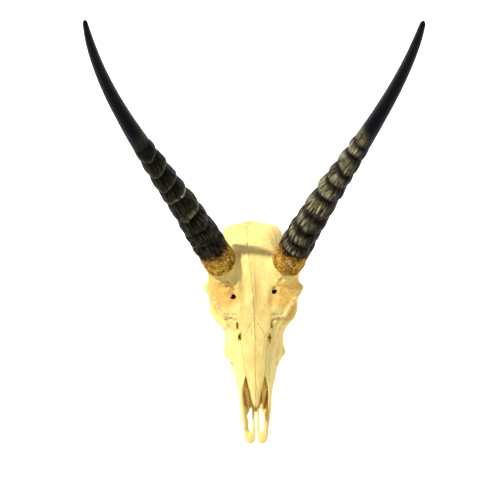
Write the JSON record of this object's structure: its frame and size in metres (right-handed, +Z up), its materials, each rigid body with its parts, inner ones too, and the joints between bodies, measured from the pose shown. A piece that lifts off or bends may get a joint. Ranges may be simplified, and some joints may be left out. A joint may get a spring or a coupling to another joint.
{
  "type": "antelope skull",
  "caption": "Antelope skull with ringed horns that sweep back and curve upwards, its cheek teeth in their sockets and no lower jaw; it rests on a table.",
  "frame": {"origin": "middle of the base of the whole object's box, on the surface that the skull rests on", "axes": "+Z up, the nose towards -Y, the animal's left towards +X; the picture looks along +Y and steeply down"},
  "size_m": [0.336, 0.3396, 0.3851],
  "materials": {
    "bone": "dry matt bone, yellowed by its own fat",
    "horn": "dark horn, ridged below and smooth above, amber crust at the base",
    "teeth": "ivory enamel, satin"
  },
  "bodies": {
    "root": {"skull": "bone", "horn_left": "horn", "horn_right": "horn", "premolar_2_left": "teeth", "premolar_2_right": "teeth", "premolar_3_left": "teeth", "premolar_3_right": "teeth", "premolar_4_left": "teeth", "premolar_4_right": "teeth", "molar_1_left": "teeth", "molar_1_right": "teeth", "molar_2_left": "teeth", "molar_2_right": "teeth", "molar_3_left": "teeth", "molar_3_right": "teeth"}
  },
  "joints": []
}
